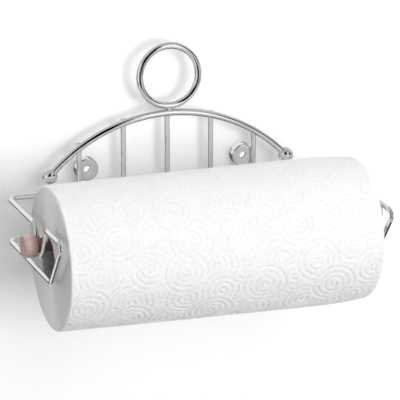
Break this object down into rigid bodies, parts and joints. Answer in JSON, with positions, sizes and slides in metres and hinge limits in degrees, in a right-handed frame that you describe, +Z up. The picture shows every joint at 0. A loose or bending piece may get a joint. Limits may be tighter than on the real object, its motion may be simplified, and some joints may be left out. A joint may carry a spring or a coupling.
{
  "type": "paper towel holder",
  "caption": "Wall-mounted chrome wire holder that carries a paper towel roll on a lift-out wooden rod.",
  "frame": {"origin": "on the wall, midway between the centres of the two mounting holes", "axes": "+X along the roll, -Y out from the wall into the room, +Z up"},
  "size_m": [0.3216, 0.1756, 0.2197],
  "materials": {
    "chrome_wire": "bright polished chrome plate on bent round steel wire",
    "chrome_cup": "chrome plate on drawn sheet, slightly duller than the wire",
    "chrome_ball": "bright polished chrome plate on turned balls",
    "beech_wood": "sealed pinkish-brown beech, satin, fine straight grain along the rod",
    "core_board": "plain greyish-brown spiral-wound board, matte",
    "towel_paper": "soft white embossed tissue, matte, dotted rings pressed into it"
  },
  "bodies": {
    "frame": {"top_ring": "chrome_wire", "arch_wire": "chrome_wire", "finial_left": "chrome_ball", "finial_right": "chrome_ball", "upright_1": "chrome_wire", "upright_2": "chrome_wire", "upright_3": "chrome_wire", "upright_4": "chrome_wire", "upright_5": "chrome_wire", "arm_wire_left": "chrome_wire", "arm_wire_right": "chrome_wire", "mounting_cup_left": "chrome_cup", "mounting_cup_right": "chrome_cup"},
    "rod": {"roller_rod": "beech_wood", "knob_left": "beech_wood", "knob_right": "beech_wood"},
    "roll": {"cardboard_core": "core_board", "paper_roll": "towel_paper"}
  },
  "joints": [
    {"name": "rod_lift", "type": "slide", "parent": "frame", "child": "rod", "axis": [0, -0.5446, 0.8387], "range_m": [0, 0.06]},
    {"name": "roll_spin", "type": "hinge", "parent": "rod", "child": "roll", "pos_m": [0.0025, -0.111, -0.0446], "axis": [1, 0, 0], "continuous": true}
  ]
}
